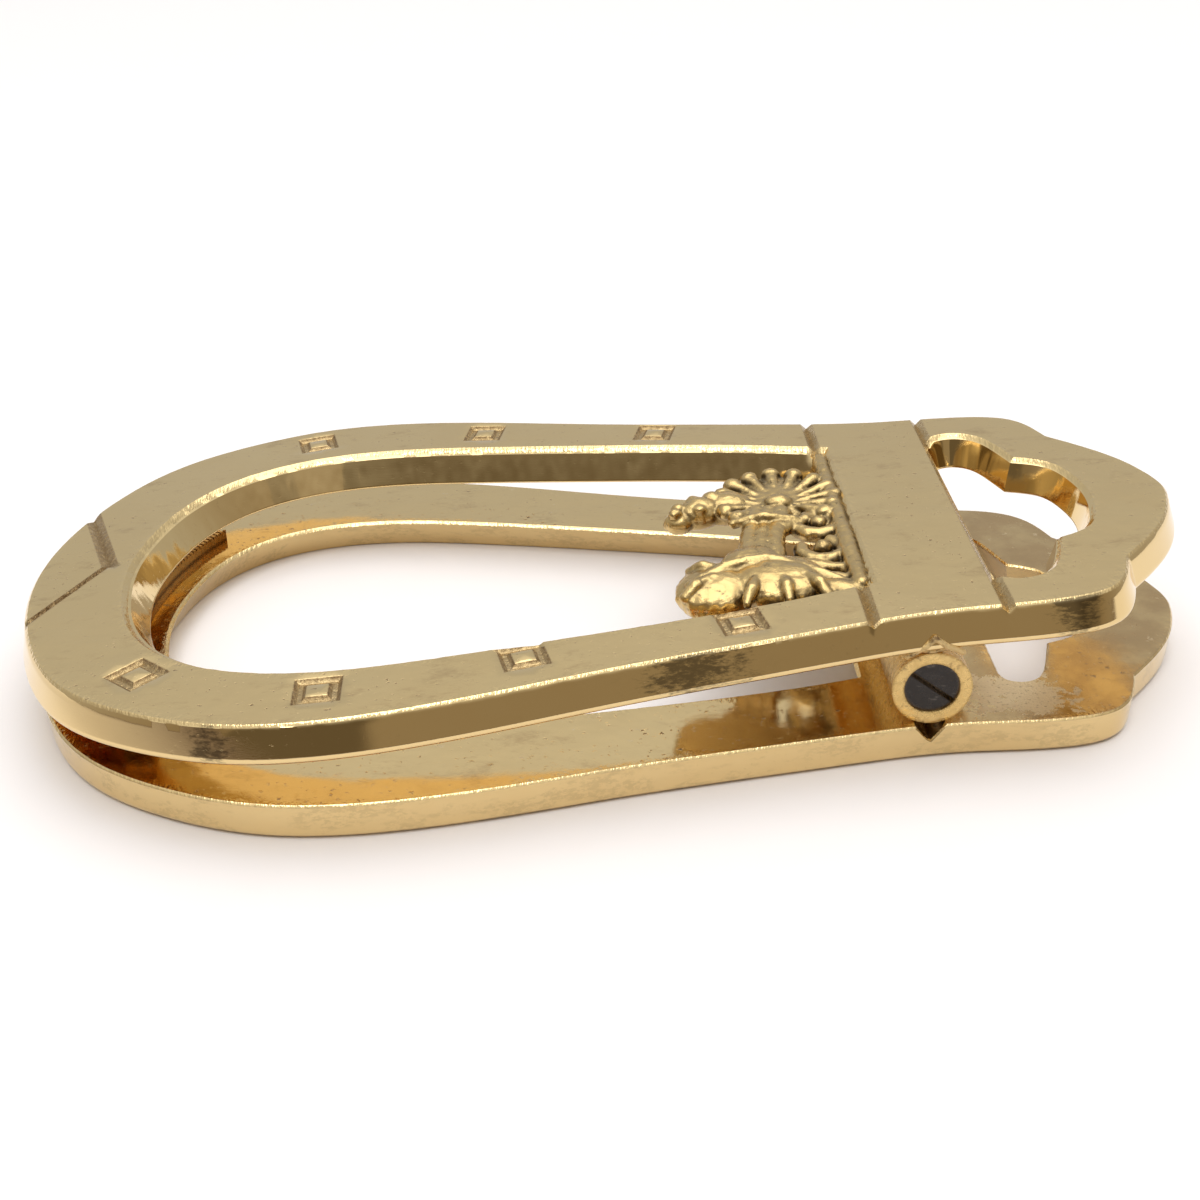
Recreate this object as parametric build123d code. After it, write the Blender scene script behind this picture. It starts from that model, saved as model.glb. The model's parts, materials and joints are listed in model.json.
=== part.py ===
from build123d import *
import math
import os

# A sprung, horseshoe-shaped money clip. Millimetres.
# Row frame: +X from the horseshoe's toe towards the stirrup loop, +Y across the clip, +Z up.
# The lower plate rests on Z = 0, and the origin is under the middle of the whole clip.
# "Plate frame" below means one plate lying flat: X from its toe, Z up from its underside.

# Plan of the upper plate at its top face, one half; the other half is its mirror image.
# Its side walls lean, so its underside has more metal round each outline, by the leans below.
# The lower plate's top face has the outlines of that underside, its outer wall is nearly
# upright, and it sits a little to one side.
OUTER_LEAN = 0.52
LOWER_OUTER_LEAN = 0.1
OPENING_LEAN = 0.85
LOOP_LEAN = 0.5
LOWER_SIDE_SHIFT = 0.27
OUTER_LEG = [
    (0.4, 0.0), (2.0, 7.75), (5.0, 12.55), (9.1, 15.3), (13.2, 16.65), (16.4, 16.85),
    (20.7, 16.35), (29.2, 14.35), (38.1, 12.45), (45.2, 11.3), (49.6, 11.1), (52.3, 10.2), (53.65, 7.45),
]
OUTER_TIP = [(53.65, 7.45), (55.1, 5.75), (56.6, 3.5), (57.45, 1.25), (57.65, 0.0)]
HORSESHOE_OPENING = [
    (5.3, 0.0), (5.65, 3.3), (6.6, 6.5), (8.9, 9.75), (12.0, 11.6), (16.3, 12.35),
    (21.1, 12.0), (29.2, 10.7), (38.2, 8.9), (41.6, 7.95),
]
LOOP_SHOULDER = [(47.1, 7.3), (47.5, 8.2), (48.6, 8.6), (49.6, 8.2), (50.6, 6.4), (51.1, 4.75)]
LOOP_TIP = [(51.1, 4.75), (52.6, 3.9), (53.45, 2.0), (53.7, 0.0)]

UPPER_THICKNESS = 1.80
LOWER_THICKNESS = 1.80
EDGE_RADIUS = 0.35
EDGE_STEPS = 4

# Filed and punched marks in the upper plate's top face.
GROOVE_STATIONS = (41.1, 47.2)
GROOVE_WIDTH = 0.6
GROOVE_DEPTH = 0.3
CROSSBAR_CHAMFER = 0.45
TOE_VEE = [(1.2, -6.1), (3.9, 0.2), (1.4, 6.6)]
TOE_VEE_WIDTH = 0.45
NAIL_FRAMES = [
    (8.05, -11.6, 47), (16.55, -14.2, 3), (25.5, -12.6, 13), (35.3, -10.9, 11),
    (12.75, 14.6, 14), (22.6, 14.2, -9), (32.45, 12.25, -13),
]
NAIL_FRAME_SIZE = 2.0
NAIL_LAND_SIZE = 1.1
NAIL_FRAME_DEPTH = 0.25

# Hinge barrel, which lies across the clip between the plates.
UPPER_HINGE_STATION = 43.85
LOWER_HINGE_STATION = 43.38
AXIS_ABOVE_LOWER_FACE = 1.76
UNDERSIDE_ABOVE_AXIS = 2.24
CLOSED_TILT = 3.58
BARREL_RADIUS = 1.85
BARREL_HALF_LENGTH = 11.3
CENTRE_HALF_LENGTH = 3.9
KNUCKLE_GAP = 0.1
SEAT_GROOVE_HALF_WIDTH = 0.72
SEAT_GROOVE_DEPTH = 0.85
PIN_RADIUS = 0.60
PIN_HALF_LENGTH = 9.0
PIN_CLEARANCE = 0.03
CHAMBER_RADIUS = 1.35
CHAMBER_END_WALL = 1.0
PLUG_RADIUS = 1.29
PLUG_RECESS = 0.15
PLUG_SLOT_WIDTH = 0.22
PLUG_SLOT_DEPTH = 0.45
PLUG_SLOT_TURN = 40
FAR_PLUG_LENGTH = 2.0
NOSE_REACH = 0.7

# Torsion spring inside the centre knuckle, and the pin that holds its fixed end.
WIRE_RADIUS = 0.15
COIL_RADIUS = 0.97
COIL_PITCH = 0.42
COIL_TURNS = 13.2
COIL_START = -2.95
SPRING_LEG_LENGTH = 0.8
ANCHOR_RADIUS = 0.22
ANCHOR_RECESS = 0.05

# Solder seams between the barrel and the plates.
SEAM_HALF_WIDTH = 0.75
SEAM_END_GAP = 0.1

# How far a cutter runs past the metal that it cuts.
OVERCUT = 1.0

# Serrated jaw: an arc on the lower plate's toe, its middle on the plate's centre line.
JAW_CENTRE_X = 24.5
JAW_HALF_SPAN = 9.6
JAW_HEIGHT = 0.60
JAW_INNER_RADIUS = 19.86
JAW_WIDTH = 1.3
TOOTH_PITCH_ANGLE = 0.95
TOOTH_HALF_WIDTH = 0.15
TOOTH_DEPTH = 0.15

# Openwork ornament against the crossbar: a shell fan, two leaves and a stem.
ORNAMENT_BASE = 0.35
ORNAMENT_THICKNESS = 1.95
ORNAMENT_TOP_DROP = 0.25
FAN_CENTRE = (38.4, 3.6)
FAN_RADIUS = 2.9
FAN_RIBS = 13
FAN_RIB_WIDTH = 0.35
FAN_RIB_DEPTH = 0.15
# Each leaf: middle, half length, half width, turn in degrees.
LEAVES = [((36.3, -5.9), 4.1, 1.9, 2), ((34.3, 2.2), 2.1, 1.1, 14)]
# Each bar: start, end, width.
ORNAMENT_BARS = [
    ((36.8, -5.4), (37.8, 3.2), 1.6), ((35.2, 2.6), (38.0, 3.4), 1.3), ((39.0, -6.2), (42.2, -6.7), 1.2),
    ((38.0, 0.4), (42.2, -1.4), 0.9), ((40.2, 3.6), (42.2, 3.6), 2.2),
]

HINGE_Z = LOWER_THICKNESS + AXIS_ABOVE_LOWER_FACE


def pushed_out(points, distance):
    """The points moved sideways by the distance, square to the line through their neighbours."""
    moved = []
    for index, (x, y) in enumerate(points):
        before = points[index - 1] if index > 0 else (x, y)
        after = points[index + 1] if index < len(points) - 1 else (x, y)
        along = Vector(after[0] - before[0], after[1] - before[1]).normalized()
        if y == 0:
            along = Vector(0, math.copysign(1, after[1] - before[1]))
        moved.append((x - along.Y * distance, y + along.X * distance))
    return moved


def mirrored(points):
    return [(x, -y) for x, y in reversed(points)]


def joined_at_corner(first, second):
    """Makes two pushed-out runs share their meeting point."""
    corner = ((first[-1][0] + second[0][0]) / 2, (first[-1][1] + second[0][1]) / 2)
    return first[:-1] + [corner], [corner] + second[1:]


def outer_outline(flare):
    leg, tip = joined_at_corner(pushed_out(OUTER_LEG, flare), pushed_out(OUTER_TIP, flare))
    toe = mirrored(leg)[:-1] + leg
    end = tip[:-1] + mirrored(tip)
    return Wire([Edge.make_spline(toe), Edge.make_spline(end)])


def horseshoe_outline(flare):
    half = pushed_out(HORSESHOE_OPENING, -flare)
    wall_x = HORSESHOE_OPENING[-1][0] - flare
    half[-1] = (wall_x, half[-1][1])
    curve = Edge.make_spline(mirrored(half)[:-1] + half)
    wall = Edge.make_line(half[-1], (wall_x, -half[-1][1]))
    return Wire([curve, wall])


def loop_outline(flare):
    shoulder, tip = joined_at_corner(pushed_out(LOOP_SHOULDER, -flare), pushed_out(LOOP_TIP, -flare))
    wall_x = LOOP_SHOULDER[0][0] + flare
    shoulder[0] = (wall_x, shoulder[0][1])
    edges = [
        Edge.make_line((wall_x, -shoulder[0][1]), shoulder[0]),
        Edge.make_spline(shoulder),
        Edge.make_spline(tip[:-1] + mirrored(tip)),
        Edge.make_spline(mirrored(shoulder)),
    ]
    return Wire(edges)


def wall_levels(thickness, top_flare, bottom_flare):
    """Heights up a leaning wall, with the flare at each, from the rounded lower edge to the top."""
    levels = []
    for step in range(EDGE_STEPS + 1):
        angle = math.radians(90 * step / EDGE_STEPS)
        height = EDGE_RADIUS * (1 - math.cos(angle))
        inset = EDGE_RADIUS * (1 - math.sin(angle))
        flare = bottom_flare + (top_flare - bottom_flare) * height / thickness
        levels.append((height, flare - inset))
    levels.append((thickness, top_flare))
    return levels


def walled(outline_at, levels):
    """The solid inside an outline whose walls follow the levels."""
    wires = [outline_at(flare).moved(Pos(0, 0, height)) for height, flare in levels]
    return Solid.make_loft(wires, ruled=True)


def blank_plate(outer_levels, opening_levels, loop_levels):
    """One plate in its plate frame, with its two openings."""
    plate = walled(outer_outline, outer_levels)
    plate -= walled(horseshoe_outline, opening_levels)
    return plate - walled(loop_outline, loop_levels)


def vee_cut(start, end, width, depth, height):
    """A V-shaped cutter from start to end, its open side at the given height."""
    run = Vector(end[0] - start[0], end[1] - start[1])
    profile = Polygon((-width, depth), (0, -depth), (width, depth), align=None)
    base = Plane(origin=(start[0], start[1], height), x_dir=(-run.Y, run.X, 0), z_dir=(run.X, run.Y, 0))
    return extrude(base * profile, run.length)


def nail_frame(x, y, turn, height):
    outer = Rectangle(NAIL_FRAME_SIZE, NAIL_FRAME_SIZE)
    inner = Rectangle(NAIL_LAND_SIZE, NAIL_LAND_SIZE)
    ring = extrude(outer - inner, NAIL_FRAME_DEPTH)
    return Pos(x, y, height - NAIL_FRAME_DEPTH) * Rot(0, 0, turn) * ring


def upper_plate():
    plate = blank_plate(
        wall_levels(UPPER_THICKNESS, 0, OUTER_LEAN),
        wall_levels(UPPER_THICKNESS, 0, OPENING_LEAN),
        wall_levels(UPPER_THICKNESS, 0, LOOP_LEAN),
    )
    half_width = OUTER_LEG[5][1]
    for station in GROOVE_STATIONS:
        ends = (station, -half_width), (station, half_width)
        plate -= vee_cut(*ends, GROOVE_WIDTH, GROOVE_DEPTH, UPPER_THICKNESS)
    corner = HORSESHOE_OPENING[-1]
    chamfer = vee_cut(
        (corner[0], -corner[1]), corner, CROSSBAR_CHAMFER, CROSSBAR_CHAMFER, UPPER_THICKNESS
    )
    plate -= chamfer
    for start, end in zip(TOE_VEE, TOE_VEE[1:]):
        plate -= vee_cut(start, end, TOE_VEE_WIDTH / 2, TOE_VEE_WIDTH / 2, UPPER_THICKNESS)
    for x, y, turn in NAIL_FRAMES:
        plate -= nail_frame(x, y, turn, UPPER_THICKNESS)
    return plate


def lower_plate():
    plate = blank_plate(
        wall_levels(LOWER_THICKNESS, OUTER_LEAN, OUTER_LEAN - LOWER_OUTER_LEAN),
        wall_levels(LOWER_THICKNESS, OPENING_LEAN, 0),
        wall_levels(LOWER_THICKNESS, LOOP_LEAN, 0),
    )
    ends = (LOWER_HINGE_STATION, -OUTER_LEG[5][1]), (LOWER_HINGE_STATION, OUTER_LEG[5][1])
    return plate - vee_cut(*ends, SEAT_GROOVE_HALF_WIDTH * 2, SEAT_GROOVE_DEPTH, LOWER_THICKNESS)


def serrated_jaw():
    """An arc of metal with radial saw teeth, in the lower plate's frame, on its top face."""
    ring = Circle(JAW_INNER_RADIUS + JAW_WIDTH) - Circle(JAW_INNER_RADIUS)
    keep = Pos(-JAW_INNER_RADIUS, 0) * Rectangle(JAW_INNER_RADIUS, 2 * JAW_HALF_SPAN)
    strip = Pos(JAW_CENTRE_X, 0, LOWER_THICKNESS) * extrude(ring & keep, JAW_HEIGHT)
    cuts = []
    end_angle = math.degrees(math.asin(JAW_HALF_SPAN / JAW_INNER_RADIUS))
    count = 2 * int(end_angle / TOOTH_PITCH_ANGLE) + 1
    for index in range(count):
        angle = math.radians(180 + (index - count // 2) * TOOTH_PITCH_ANGLE)
        near, far = JAW_INNER_RADIUS - OVERCUT, JAW_INNER_RADIUS + JAW_WIDTH + OVERCUT
        start = JAW_CENTRE_X + near * math.cos(angle), near * math.sin(angle)
        end = JAW_CENTRE_X + far * math.cos(angle), far * math.sin(angle)
        cuts.append(vee_cut(start, end, TOOTH_HALF_WIDTH, TOOTH_DEPTH, LOWER_THICKNESS + JAW_HEIGHT))
    return strip - cuts


def leaf(middle, half_length, half_width, turn):
    """A lens-shaped leaf with a ridge along its middle."""
    bow = (half_length**2 + half_width**2) / (2 * half_width)
    lens = Pos(0, half_width - bow) * Circle(bow) & Pos(0, bow - half_width) * Circle(bow)
    body = extrude(lens, ORNAMENT_THICKNESS)
    return Pos(*middle) * Rot(0, 0, turn) * body


def bar_between(start, end, width):
    run = Vector(end[0] - start[0], end[1] - start[1])
    bar = extrude(SlotCenterToCenter(run.length, width), ORNAMENT_THICKNESS - ORNAMENT_TOP_DROP)
    middle = (start[0] + end[0]) / 2, (start[1] + end[1]) / 2
    return Pos(*middle) * Rot(0, 0, math.degrees(math.atan2(run.Y, run.X))) * bar


def ornament():
    """A generic shell fan with two leaves, standing proud of the upper plate, ending at the crossbar."""
    fan = Pos(*FAN_CENTRE) * extrude(Circle(FAN_RADIUS), ORNAMENT_THICKNESS)
    for index in range(FAN_RIBS):
        angle = math.radians(index * 360 / FAN_RIBS)
        rim = FAN_RADIUS + OVERCUT
        end = FAN_CENTRE[0] + rim * math.cos(angle), FAN_CENTRE[1] + rim * math.sin(angle)
        fan -= vee_cut(FAN_CENTRE, end, FAN_RIB_WIDTH, FAN_RIB_DEPTH, ORNAMENT_THICKNESS)
    body = fan
    for shape in LEAVES:
        body += leaf(*shape)
    for bar in ORNAMENT_BARS:
        body += bar_between(*bar)
    opening = walled(horseshoe_outline, wall_levels(UPPER_THICKNESS, 0, OPENING_LEAN))
    above = extrude(make_face(horseshoe_outline(0)), ORNAMENT_THICKNESS)
    opening += Pos(0, 0, UPPER_THICKNESS) * above
    return Pos(0, 0, ORNAMENT_BASE) * body & opening


def along_y(radius, start, end):
    """A round bar on the hinge axis, from one Y to another."""
    return Pos(0, (start + end) / 2, 0) * Rot(90, 0, 0) * Cylinder(radius, end - start)


def near_knuckle():
    inner_end = -CENTRE_HALF_LENGTH - KNUCKLE_GAP
    tube = along_y(BARREL_RADIUS, -BARREL_HALF_LENGTH, inner_end)
    return tube - along_y(PLUG_RADIUS, -BARREL_HALF_LENGTH - OVERCUT, inner_end + OVERCUT)


def far_knuckle():
    inner_end = CENTRE_HALF_LENGTH + KNUCKLE_GAP
    counterbore_end = BARREL_HALF_LENGTH - PLUG_RECESS - FAR_PLUG_LENGTH
    tube = along_y(BARREL_RADIUS, inner_end, BARREL_HALF_LENGTH)
    tube -= along_y(PLUG_RADIUS, counterbore_end, BARREL_HALF_LENGTH + OVERCUT)
    return tube - along_y(PIN_RADIUS, inner_end - OVERCUT, counterbore_end + OVERCUT)


def centre_knuckle():
    wall = CENTRE_HALF_LENGTH - CHAMBER_END_WALL
    tube = along_y(BARREL_RADIUS, -CENTRE_HALF_LENGTH, CENTRE_HALF_LENGTH)
    tube -= along_y(CHAMBER_RADIUS, -CENTRE_HALF_LENGTH - OVERCUT, wall)
    tube -= along_y(PIN_RADIUS + PIN_CLEARANCE, wall - OVERCUT, CENTRE_HALF_LENGTH + OVERCUT)
    return tube - spring_anchor()


def spring_anchor():
    """A short upright pin through the bottom of the centre knuckle, reaching the spring's end."""
    y = CENTRE_HALF_LENGTH - CHAMBER_END_WALL - ANCHOR_RADIUS
    reach = BARREL_RADIUS - ANCHOR_RECESS - (COIL_RADIUS - WIRE_RADIUS)
    return Pos(0, y, -BARREL_RADIUS + ANCHOR_RECESS) * extrude(Circle(ANCHOR_RADIUS), reach)


def hinge_pin():
    return along_y(PIN_RADIUS, -PIN_HALF_LENGTH, PIN_HALF_LENGTH)


def screwdriver_slot(face_y, outward):
    """A slot cutter across a plug's outer end, turned a little as a real screw stops."""
    slot = Box(PLUG_RADIUS * 3, PLUG_SLOT_DEPTH * 2, PLUG_SLOT_WIDTH)
    return Pos(0, face_y, 0) * Rot(0, PLUG_SLOT_TURN * outward, 0) * slot


def near_plug():
    """The long tension plug: slotted outside, hollow for the pin, its nose in the centre knuckle."""
    face_y = -BARREL_HALF_LENGTH + PLUG_RECESS
    nose_y = -CENTRE_HALF_LENGTH + NOSE_REACH
    plug = along_y(PLUG_RADIUS, face_y, nose_y)
    plug -= along_y(PIN_RADIUS, -PIN_HALF_LENGTH, nose_y + OVERCUT)
    plug -= spring_leg()
    return plug - screwdriver_slot(face_y, 1)


def far_plug():
    face_y = BARREL_HALF_LENGTH - PLUG_RECESS
    plug = along_y(PLUG_RADIUS, face_y - FAR_PLUG_LENGTH, face_y)
    return plug - screwdriver_slot(face_y, -1)


def spring_leg():
    """The spring's straight end, which enters the tension plug's nose."""
    leg = along_y(WIRE_RADIUS, COIL_START - SPRING_LEG_LENGTH, COIL_START)
    return Pos(COIL_RADIUS, 0, 0) * leg


def torsion_spring():
    helix = Edge.make_helix(COIL_PITCH, COIL_PITCH * COIL_TURNS, COIL_RADIUS)
    start = Plane(origin=helix @ 0, z_dir=helix % 0)
    coil = sweep(start * Circle(WIRE_RADIUS), path=helix)
    coil = Pos(0, COIL_START, 0) * Rot(-90, 0, 0) * coil
    return coil + spring_leg()


def upper_seam(start, end):
    """A solder seam between the barrel's top and the upper plate's underside."""
    block = extrude(Rectangle(2 * SEAM_HALF_WIDTH, end - start), UNDERSIDE_ABOVE_AXIS)
    return Pos(0, (start + end) / 2, 0) * block - along_y(BARREL_RADIUS, start - OVERCUT, end + OVERCUT)


def lower_seam():
    """The solder that fills the V seat under the centre knuckle."""
    half = CENTRE_HALF_LENGTH - KNUCKLE_GAP
    height = -AXIS_ABOVE_LOWER_FACE
    ends = (0, -half), (0, half)
    seam = vee_cut(*ends, 2 * SEAT_GROOVE_HALF_WIDTH, SEAT_GROOVE_DEPTH, height)
    below_face = extrude(Rectangle(4 * SEAT_GROOVE_HALF_WIDTH, 2 * half), SEAT_GROOVE_DEPTH)
    seam &= Pos(0, 0, height - SEAT_GROOVE_DEPTH) * below_face
    return seam - along_y(BARREL_RADIUS, -half - OVERCUT, half + OVERCUT) - spring_anchor()


def build():
    """Every piece in the row frame, by node name."""
    tilt = math.radians(CLOSED_TILT)
    toe_x = OUTER_LEG[0][0] - OUTER_LEAN
    upper_toe_x = (toe_x - UPPER_HINGE_STATION) * math.cos(tilt) - UNDERSIDE_ABOVE_AXIS * math.sin(tilt)
    lower_tip_x = OUTER_TIP[-1][0] + OUTER_LEAN - LOWER_HINGE_STATION
    hinge_x = -(upper_toe_x + lower_tip_x) / 2
    hinge_y = -LOWER_SIDE_SHIFT / 2
    hinge = Pos(hinge_x, hinge_y, HINGE_Z)
    print("hinge axis at X", round(hinge_x, 3), "Y", round(hinge_y, 3), "Z", round(HINGE_Z, 3))

    lower_frame = Pos(hinge_x - LOWER_HINGE_STATION, hinge_y + LOWER_SIDE_SHIFT, 0)
    upper_body = hinge * Rot(0, -CLOSED_TILT, 0)
    upper_frame = upper_body * Pos(-UPPER_HINGE_STATION, 0, UNDERSIDE_ABOVE_AXIS)
    barrel_end = BARREL_HALF_LENGTH - SEAM_END_GAP
    knuckle_end = CENTRE_HALF_LENGTH + SEAM_END_GAP
    return {
        "lower_plate": lower_frame * lower_plate(),
        "serrated_jaw": lower_frame * serrated_jaw(),
        "centre_knuckle": hinge * centre_knuckle(),
        "centre_solder_seam": hinge * lower_seam(),
        "spring_anchor_pin": hinge * spring_anchor(),
        "upper_plate": upper_frame * upper_plate(),
        "crossbar_ornament": upper_frame * ornament(),
        "near_knuckle": upper_body * near_knuckle(),
        "far_knuckle": upper_body * far_knuckle(),
        "near_solder_seam": upper_body * upper_seam(-barrel_end, -knuckle_end),
        "far_solder_seam": upper_body * upper_seam(knuckle_end, barrel_end),
        "hinge_pin": upper_body * hinge_pin(),
        "near_tension_plug": upper_body * near_plug(),
        "far_end_plug": upper_body * far_plug(),
        "torsion_spring": upper_body * torsion_spring(),
    }


os.makedirs("parts", exist_ok=True)
for node, solid in build().items():
    export_step(solid, f"parts/{node}.step")
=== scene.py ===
"""A sprung horseshoe money clip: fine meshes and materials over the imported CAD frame."""

import json
import math

import bmesh
import bpy
import numpy as np
from mathutils import Matrix, Vector, noise
from mathutils.geometry import delaunay_2d_cdt


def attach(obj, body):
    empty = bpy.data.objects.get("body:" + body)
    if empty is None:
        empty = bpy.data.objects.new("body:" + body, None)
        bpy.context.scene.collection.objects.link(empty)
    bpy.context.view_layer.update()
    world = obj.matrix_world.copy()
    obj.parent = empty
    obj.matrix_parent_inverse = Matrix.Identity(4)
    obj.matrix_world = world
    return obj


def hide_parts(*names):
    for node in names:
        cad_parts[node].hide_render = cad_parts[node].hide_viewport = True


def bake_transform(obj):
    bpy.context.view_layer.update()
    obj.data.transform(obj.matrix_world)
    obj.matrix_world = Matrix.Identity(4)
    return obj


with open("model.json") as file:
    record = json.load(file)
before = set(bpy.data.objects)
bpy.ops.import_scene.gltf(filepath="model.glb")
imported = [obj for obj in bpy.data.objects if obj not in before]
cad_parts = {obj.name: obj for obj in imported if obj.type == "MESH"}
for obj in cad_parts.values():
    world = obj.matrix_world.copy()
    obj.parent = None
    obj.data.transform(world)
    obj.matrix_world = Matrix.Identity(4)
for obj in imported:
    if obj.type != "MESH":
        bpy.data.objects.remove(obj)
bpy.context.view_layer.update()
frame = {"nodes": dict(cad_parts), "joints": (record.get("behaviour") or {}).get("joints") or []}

# ---- Driving dimensions, in millimetres. "Plate frame" is one plate lying flat:
# X from the horseshoe's toe, Z up from the plate's underside.
MM = 0.001

# Metal added sideways at a plate's top and bottom: round its outside, horseshoe opening and loop.
UPPER_FLARES = ((0.0, 0.52), (0.0, 0.85), (0.0, 0.5))
LOWER_FLARES = ((0.52, 0.42), (0.85, 0.0), (0.5, 0.0))
# Width of the worn bevel along the same three top edges.
UPPER_BEVELS = (0.10, 0.26, 0.20)
LOWER_BEVELS = (0.10, 0.16, 0.10)
OUTER_LEG = [
    (0.4, 0.0), (2.0, 7.75), (5.0, 12.55), (9.1, 15.3), (13.2, 16.65), (16.4, 16.85),
    (20.7, 16.35), (29.2, 14.35), (38.1, 12.45), (45.2, 11.3), (49.6, 11.1), (52.3, 10.2), (53.65, 7.45),
]
OUTER_TIP = [(57.65, 0.0), (57.45, 1.25), (56.6, 3.5), (55.1, 5.75), (53.65, 7.45)]
HORSESHOE_OPENING = [
    (5.3, 0.0), (5.65, 3.3), (6.6, 6.5), (8.9, 9.75), (12.0, 11.6), (16.3, 12.35),
    (21.1, 12.0), (29.2, 10.7), (38.2, 8.9), (41.6, 7.95),
]
LOOP_SHOULDER = [(47.1, 7.3), (47.5, 8.2), (48.6, 8.6), (49.6, 8.2), (50.6, 6.4), (51.1, 4.75)]
LOOP_TIP = [(53.7, 0.0), (53.45, 2.0), (52.6, 3.9), (51.1, 4.75)]

UPPER_THICKNESS = 1.80
LOWER_THICKNESS = 1.80
# Rounding of the bottom edge: round the outside, and along the two openings.
FOOT_RADII = (0.35, 0.12, 0.12)

GROOVE_STATIONS = (41.1, 47.2)
GROOVE_HALF_WIDTH = 0.3
GROOVE_DEPTH = 0.3
CROSSBAR_CHAMFER = 0.22
# Width of the dirty rim along a cut.
CUT_RIM = 0.07
TOE_VEE = [(1.2, -6.1), (3.9, 0.2), (1.4, 6.6)]
# Half width, depth and dirt of the V's near and far strokes.
TOE_VEE_STROKES = ((0.16, 0.2, 0.95), (0.40, 0.24, 0.8))
GROOVE_GRIME = 0.45
SEAT_GRIME = 0.25
# Middle and turn in degrees of each punched nail mark.
NAIL_FRAMES = [
    (8.05, -11.6, 47), (16.55, -14.2, 3), (25.5, -12.6, 13), (35.3, -10.9, 11),
    (12.75, 14.6, 14), (22.6, 14.2, -9), (32.45, 12.25, -13),
]

UPPER_HINGE_STATION = 43.85
LOWER_HINGE_STATION = 43.38
UNDERSIDE_ABOVE_AXIS = 2.24
LOWER_SIDE_SHIFT = 0.27
CLOSED_TILT = math.radians(3.58)
BARREL_HALF_LENGTH = 11.3
CENTRE_HALF_LENGTH = 3.9
SEAT_HALF_WIDTH = 0.72
SEAT_DEPTH = 0.85
SEAT_HALF_SPAN = 18

# The tarnish on the lower plate starts here and is full after the fade.
TARNISH_FROM = 43.0
TARNISH_FADE = 4
# Painted dark reflections on the upper plate's near wall, drawn as ragged gritty blots: station and half
# length of each.
PAINTED_REFLECTIONS = ((12.3, 1.2), (33.2, 3.0), (50.3, 1.4))
# A rough, whitish patch left on the lower plate beside the barrel: centre, half length and half width.
CRUST = (48.0, -9.3, 2.9, 2.0)
# Height and length of the slow and the fine waves that polishing left in the faces.
SLOW_WAVE = (0.012, 9)
FINE_WAVE = (0.003, 1.6)
# The same for the walls, and how much the bevel's width varies.
WALL_WAVE = (0.012, 3.5)
EDGE_WEAR = 0.1
UPPER_SEED = 3.1
LOWER_SEED = 11.7

# The torsion spring inside the barrel, in the hinge's frame: X forward, Y along the pin.
WIRE_RADIUS = 0.15
COIL_RADIUS = 0.97
COIL_PITCH = 0.42
COIL_TURNS = 13.2
COIL_START = -2.95
SPRING_LEG_LENGTH = 0.8

# Spacing of mesh points: along the outlines and marks, and across the top and bottom faces.
LOOP_SPACING = 0.2
MARK_SPACING = 0.4
GRID_SPACING = 0.55
BOTTOM_SPACING = 1.5
# Height of a row of near-equilateral triangles, as a share of their width.
ROW_RATIO = 0.87
# Rings down a wall: its bevel, straight part and rounded foot.
BEVEL_RINGS = 3
WALL_RINGS = 5
FOOT_RINGS = 9

hinge = Vector(frame["joints"][0]["pos_m"])
lower_origin = (hinge.x - LOWER_HINGE_STATION * MM, hinge.y + LOWER_SIDE_SHIFT * MM, 0)
lower_to_row = Matrix.Translation(lower_origin) @ Matrix.Scale(MM, 4)
hinge_to_row = Matrix.Translation(hinge) @ Matrix.Rotation(-CLOSED_TILT, 4, "Y") @ Matrix.Scale(MM, 4)
upper_to_row = hinge_to_row @ Matrix.Translation((-UPPER_HINGE_STATION, 0, UNDERSIDE_ABOVE_AXIS))


# ---- Curves and closed outlines
def smooth_run(points, spacing=LOOP_SPACING):
    """Even points along the natural cubic curve through the given ones."""
    through = np.array(points, float)
    step = np.hypot(*np.diff(through, axis=0).T)
    knots = np.concatenate([[0], np.cumsum(step)])
    count = len(through)
    system = np.eye(count)
    right = np.zeros((count, 2))
    for i in range(1, count - 1):
        system[i, i - 1 : i + 2] = step[i - 1], 2 * (step[i - 1] + step[i]), step[i]
        slope_before = (through[i] - through[i - 1]) / step[i - 1]
        slope_after = (through[i + 1] - through[i]) / step[i]
        right[i] = 6 * (slope_after - slope_before)
    bend = np.linalg.solve(system, right)
    along = np.linspace(0, knots[-1], max(2, round(knots[-1] / spacing) + 1))
    k = np.clip(np.searchsorted(knots, along, side="right") - 1, 0, count - 2)
    width = step[k][:, None]
    before = (knots[k + 1] - along)[:, None] / width
    after = 1 - before
    cubic = (before**3 - before) * bend[k] + (after**3 - after) * bend[k + 1]
    return before * through[k] + after * through[k + 1] + cubic * width**2 / 6


def across(half):
    """Both halves of a symmetric run, from -Y to +Y, given the half that starts on the axis."""
    return [(x, -y) for x, y in reversed(half)][:-1] + list(half)


def mirrored(points):
    return [(x, -y) for x, y in reversed(points)]


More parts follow.
